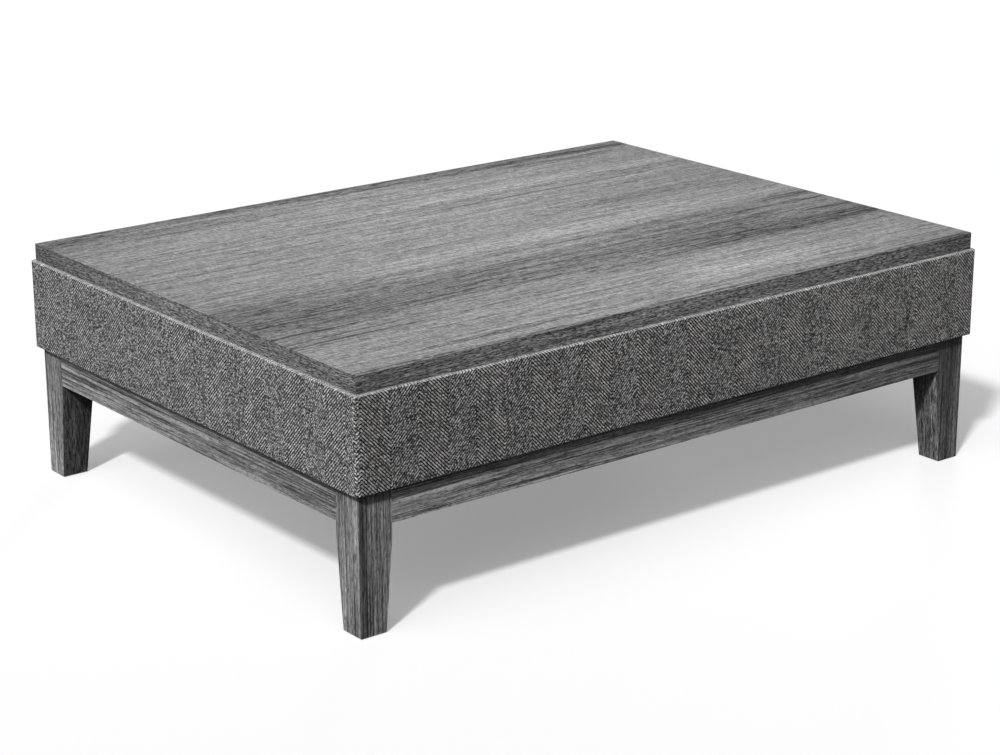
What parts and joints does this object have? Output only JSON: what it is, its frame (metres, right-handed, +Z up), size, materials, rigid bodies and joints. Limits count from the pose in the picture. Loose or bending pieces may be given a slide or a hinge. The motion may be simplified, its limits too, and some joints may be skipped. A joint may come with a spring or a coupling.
{
  "type": "ottoman coffee table",
  "caption": "Low rectangular coffee table with a wooden top on a cloth-covered box, on a wooden base with tapered legs.",
  "frame": {"origin": "on the floor, at the middle of the table's outline", "axes": "+X along the long side to the right, +Y from the front to the back, +Z up"},
  "size_m": [1.2, 0.878, 0.375],
  "materials": {
    "grey_wood": "grey stained ash, open straight grain, satin",
    "grey_veneer": "grey stained ash veneer with broad grain bands, satin",
    "hidden_timber": "planed softwood, unfinished",
    "plywood": "birch plywood, unfinished",
    "fibreboard": "fibreboard, unfinished",
    "foam": "open-cell foam",
    "tweed": "grey herringbone wool tweed",
    "dust_cloth": "black non-woven cloth",
    "steel": "zinc plated",
    "nylon": "black nylon"
  },
  "bodies": {
    "root": {"backing_veneer": "grey_veneer", "base_bolts": "steel", "base_washers": "steel", "block_screws": "steel", "bottom_bearer_centre": "hidden_timber", "bottom_bearer_left": "hidden_timber", "bottom_bearer_right": "hidden_timber", "box_board_back": "plywood", "box_board_front": "plywood", "box_board_left": "plywood", "box_board_right": "plywood", "box_screws": "steel", "cloth_cover": "tweed", "corner_block_back_left": "hidden_timber", "corner_block_back_right": "hidden_timber", "corner_block_front_left": "hidden_timber", "corner_block_front_right": "hidden_timber", "corner_post_back_left": "hidden_timber", "corner_post_back_right": "hidden_timber", "corner_post_front_left": "hidden_timber", "corner_post_front_right": "hidden_timber", "cross_rail": "grey_wood", "cross_rail_screws": "steel", "dust_cover": "dust_cloth", "face_veneer": "grey_veneer", "foam_pad_back": "foam", "foam_pad_front": "foam", "foam_pad_left": "foam", "foam_pad_right": "foam", "foot_glides": "nylon", "leg_back_left": "grey_wood", "leg_back_right": "grey_wood", "leg_front_left": "grey_wood", "leg_front_right": "grey_wood", "lipping_back": "grey_wood", "lipping_front": "grey_wood", "lipping_left": "grey_wood", "lipping_right": "grey_wood", "rail_back": "grey_wood", "rail_front": "grey_wood", "rail_left": "grey_wood", "rail_right": "grey_wood", "staples": "steel", "tee_nuts": "steel", "top_bearer_centre": "hidden_timber", "top_bearer_left": "hidden_timber", "top_bearer_right": "hidden_timber", "top_core": "fibreboard", "top_screws": "steel"}
  },
  "joints": []
}
